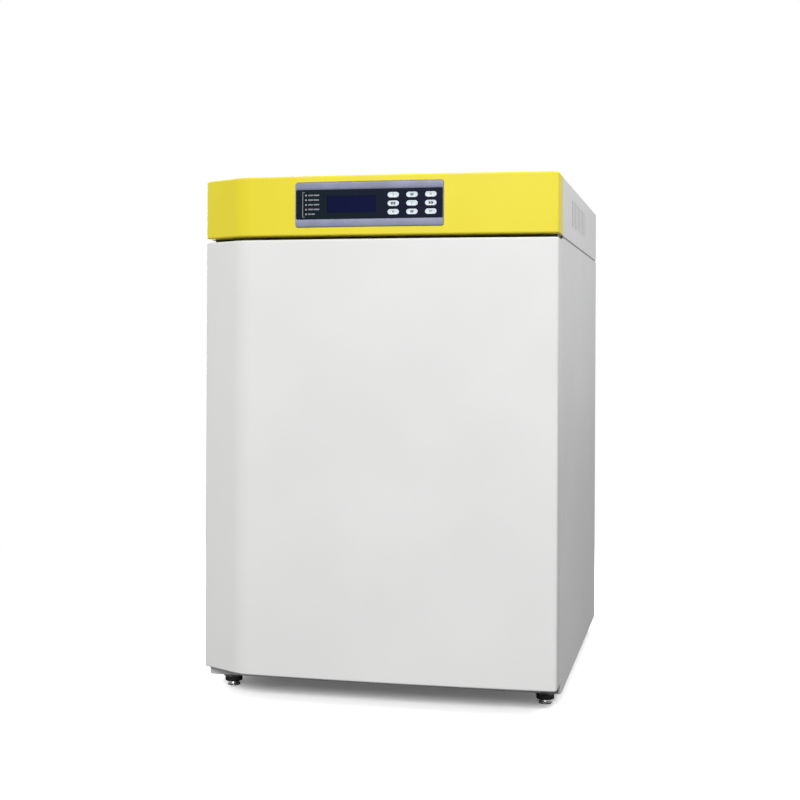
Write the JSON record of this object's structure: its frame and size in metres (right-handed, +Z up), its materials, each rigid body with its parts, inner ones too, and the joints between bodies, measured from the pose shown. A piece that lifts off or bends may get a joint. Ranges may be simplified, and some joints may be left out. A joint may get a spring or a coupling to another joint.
{
  "type": "carbon dioxide incubator",
  "caption": "Cabinet incubator with a bowed outer door, inner glass door, perforated shelves, water tray, control head and levelling feet.",
  "frame": {"origin": "on the floor under the centre of the whole cabinet, fittings and control panel included", "axes": "+Z up, the doors face -Y, +X to the right of someone who faces the doors"},
  "size_m": [0.604, 0.768, 0.87],
  "materials": {
    "access_port": "matte",
    "access_port_stopper": "matte",
    "air_duct_cover": "brushed",
    "back_panel": "fine-textured powder coat",
    "base_pan": "zinc plated",
    "chamber_gasket": "matte",
    "chamber_heater": "polyimide foil",
    "chamber_liner": "brushed",
    "co2_sensor": "matte",
    "controller_board": "solder mask",
    "display_bezel": "satin moulded plastic",
    "display_panel": "gloss",
    "door_gasket": "matte",
    "door_liner": "semi-gloss powder coat",
    "door_shell": "semi-gloss powder coat",
    "electronics_deck": "zinc plated",
    "fan_motor": "zinc plated",
    "fan_wheel": "matte",
    "fascia": "gloss enamel",
    "foot_front_left": "zinc plated",
    "foot_front_right": "zinc plated",
    "foot_rear_left": "zinc plated",
    "foot_rear_right": "zinc plated",
    "front_frame": "semi-gloss powder coat",
    "gas_fitting": "machined",
    "gas_tube": "matte",
    "gas_valve": "zinc plated",
    "glass_door": "polished",
    "glass_door_hinge_rail": "brushed",
    "glass_door_hinge_strip": "brushed",
    "glass_door_keeper": "brushed",
    "glass_door_knob": "matte",
    "humidity_pan": "brushed",
    "insulation_jacket": "fibrous",
    "key_lower_centre": "matte",
    "key_lower_left": "matte",
    "key_lower_right": "matte",
    "key_middle_centre": "matte",
    "key_middle_left": "matte",
    "key_middle_right": "matte",
    "key_upper_centre": "matte",
    "key_upper_left": "matte",
    "key_upper_right": "matte",
    "keypad_board": "solder mask",
    "lcd_display": "gloss",
    "left_side_panel": "fine-textured powder coat",
    "lower_door_bracket": "zinc plated",
    "lower_door_bush": "matte",
    "lower_shelf": "brushed",
    "mains_inlet": "matte",
    "middle_shelf": "brushed",
    "power_supply": "zinc plated",
    "power_switch": "matte",
    "right_side_panel": "fine-textured powder coat",
    "shelf_rack": "brushed",
    "temperature_probe": "brushed",
    "top_cover": "fine-textured powder coat",
    "upper_door_bracket": "zinc plated",
    "upper_door_bush": "matte",
    "upper_shelf": "brushed"
  },
  "bodies": {
    "cabinet": {"access_port": "access_port", "air_duct_cover": "air_duct_cover", "back_panel": "back_panel", "base_pan": "base_pan", "chamber_gasket": "chamber_gasket", "chamber_heater": "chamber_heater", "chamber_liner": "chamber_liner", "co2_sensor": "co2_sensor", "controller_board": "controller_board", "display_bezel": "display_bezel", "display_panel": "display_panel", "electronics_deck": "electronics_deck", "fan_motor": "fan_motor", "fascia": "fascia", "front_frame": "front_frame", "gas_fitting": "gas_fitting", "gas_tube": "gas_tube", "gas_valve": "gas_valve", "glass_door_hinge_strip": "glass_door_hinge_strip", "glass_door_keeper": "glass_door_keeper", "insulation_jacket": "insulation_jacket", "keypad_board": "keypad_board", "lcd_display": "lcd_display", "left_side_panel": "left_side_panel", "lower_door_bracket": "lower_door_bracket", "mains_inlet": "mains_inlet", "power_supply": "power_supply", "right_side_panel": "right_side_panel", "shelf_rack": "shelf_rack", "temperature_probe": "temperature_probe", "top_cover": "top_cover", "upper_door_bracket": "upper_door_bracket"},
    "outer_door": {"door_shell": "door_shell", "door_liner": "door_liner", "door_gasket": "door_gasket", "lower_door_bush": "lower_door_bush", "upper_door_bush": "upper_door_bush"},
    "inner_door": {"glass_door": "glass_door", "glass_door_hinge_rail": "glass_door_hinge_rail"},
    "inner_door_knob": {"glass_door_knob": "glass_door_knob"},
    "fan": {"fan_wheel": "fan_wheel"},
    "rocker": {"power_switch": "power_switch"},
    "stopper": {"access_port_stopper": "access_port_stopper"},
    "water_pan": {"humidity_pan": "humidity_pan"},
    "lower_shelf": {"lower_shelf": "lower_shelf"},
    "middle_shelf": {"middle_shelf": "middle_shelf"},
    "upper_shelf": {"upper_shelf": "upper_shelf"},
    "foot_front_left": {"foot_front_left": "foot_front_left"},
    "foot_front_right": {"foot_front_right": "foot_front_right"},
    "foot_rear_left": {"foot_rear_left": "foot_rear_left"},
    "foot_rear_right": {"foot_rear_right": "foot_rear_right"},
    "key_lower_centre": {"key_lower_centre": "key_lower_centre"},
    "key_lower_left": {"key_lower_left": "key_lower_left"},
    "key_lower_right": {"key_lower_right": "key_lower_right"},
    "key_middle_centre": {"key_middle_centre": "key_middle_centre"},
    "key_middle_left": {"key_middle_left": "key_middle_left"},
    "key_middle_right": {"key_middle_right": "key_middle_right"},
    "key_upper_centre": {"key_upper_centre": "key_upper_centre"},
    "key_upper_left": {"key_upper_left": "key_upper_left"},
    "key_upper_right": {"key_upper_right": "key_upper_right"}
  },
  "joints": [
    {"name": "outer_door_hinge", "type": "hinge", "parent": "cabinet", "child": "outer_door", "pos_m": [0.288, -0.341, 0.044], "axis": [0, 0, 1], "range_deg": [0, 120]},
    {"name": "glass_door_hinge", "type": "hinge", "parent": "cabinet", "child": "inner_door", "pos_m": [0.2455, -0.3236, 0.0785], "axis": [0, 0, 1], "range_deg": [0, 108]},
    {"name": "glass_door_knob_turn", "type": "hinge", "parent": "inner_door", "child": "inner_door_knob", "pos_m": [-0.222, -0.3206, 0.39], "axis": [0, -1, 0], "range_deg": [0, 90]},
    {"name": "fan_spin", "type": "hinge", "parent": "cabinet", "child": "fan", "pos_m": [0, 0.11, 0.655], "axis": [0, 0, 1], "continuous": true},
    {"name": "power_switch_rock", "type": "hinge", "parent": "cabinet", "child": "rocker", "pos_m": [0.18, 0.3658, 0.822], "axis": [-1, 0, 0], "range_deg": [0, 16]},
    {"name": "access_port_stopper_slide", "type": "slide", "parent": "cabinet", "child": "stopper", "axis": [0, 1, 0], "range_m": [0, 0.05]},
    {"name": "humidity_pan_slide", "type": "slide", "parent": "cabinet", "child": "water_pan", "axis": [0, -1, 0], "range_m": [0, 0.03]},
    {"name": "lower_shelf_slide", "type": "slide", "parent": "cabinet", "child": "lower_shelf", "axis": [0, -1, 0], "range_m": [0, 0.035]},
    {"name": "middle_shelf_slide", "type": "slide", "parent": "cabinet", "child": "middle_shelf", "axis": [0, -1, 0], "range_m": [0, 0.035]},
    {"name": "upper_shelf_slide", "type": "slide", "parent": "cabinet", "child": "upper_shelf", "axis": [0, -1, 0], "range_m": [0, 0.035]},
    {"name": "key_lower_centre_press", "type": "slide", "parent": "cabinet", "child": "key_lower_centre", "axis": [0, 1, 0], "range_m": [0, 0.001], "stiffness_N_per_m": 600},
    {"name": "key_lower_left_press", "type": "slide", "parent": "cabinet", "child": "key_lower_left", "axis": [0, 1, 0], "range_m": [0, 0.001], "stiffness_N_per_m": 600},
    {"name": "key_lower_right_press", "type": "slide", "parent": "cabinet", "child": "key_lower_right", "axis": [0, 1, 0], "range_m": [0, 0.001], "stiffness_N_per_m": 600},
    {"name": "key_middle_centre_press", "type": "slide", "parent": "cabinet", "child": "key_middle_centre", "axis": [0, 1, 0], "range_m": [0, 0.001], "stiffness_N_per_m": 600},
    {"name": "key_middle_left_press", "type": "slide", "parent": "cabinet", "child": "key_middle_left", "axis": [0, 1, 0], "range_m": [0, 0.001], "stiffness_N_per_m": 600},
    {"name": "key_middle_right_press", "type": "slide", "parent": "cabinet", "child": "key_middle_right", "axis": [0, 1, 0], "range_m": [0, 0.001], "stiffness_N_per_m": 600},
    {"name": "key_upper_centre_press", "type": "slide", "parent": "cabinet", "child": "key_upper_centre", "axis": [0, 1, 0], "range_m": [0, 0.001], "stiffness_N_per_m": 600},
    {"name": "key_upper_left_press", "type": "slide", "parent": "cabinet", "child": "key_upper_left", "axis": [0, 1, 0], "range_m": [0, 0.001], "stiffness_N_per_m": 600},
    {"name": "key_upper_right_press", "type": "slide", "parent": "cabinet", "child": "key_upper_right", "axis": [0, 1, 0], "range_m": [0, 0.001], "stiffness_N_per_m": 600},
    {"name": "foot_front_left_screw", "type": "slide", "parent": "cabinet", "child": "foot_front_left", "axis": [0, 0, -1], "range_m": [0, 0.012]},
    {"name": "foot_front_right_screw", "type": "slide", "parent": "cabinet", "child": "foot_front_right", "axis": [0, 0, -1], "range_m": [0, 0.012]},
    {"name": "foot_rear_left_screw", "type": "slide", "parent": "cabinet", "child": "foot_rear_left", "axis": [0, 0, -1], "range_m": [0, 0.012]},
    {"name": "foot_rear_right_screw", "type": "slide", "parent": "cabinet", "child": "foot_rear_right", "axis": [0, 0, -1], "range_m": [0, 0.012]}
  ],
  "couplings": [
    {"joint": "glass_door_hinge", "follows": "outer_door_hinge", "ratio": 0.9}
  ]
}
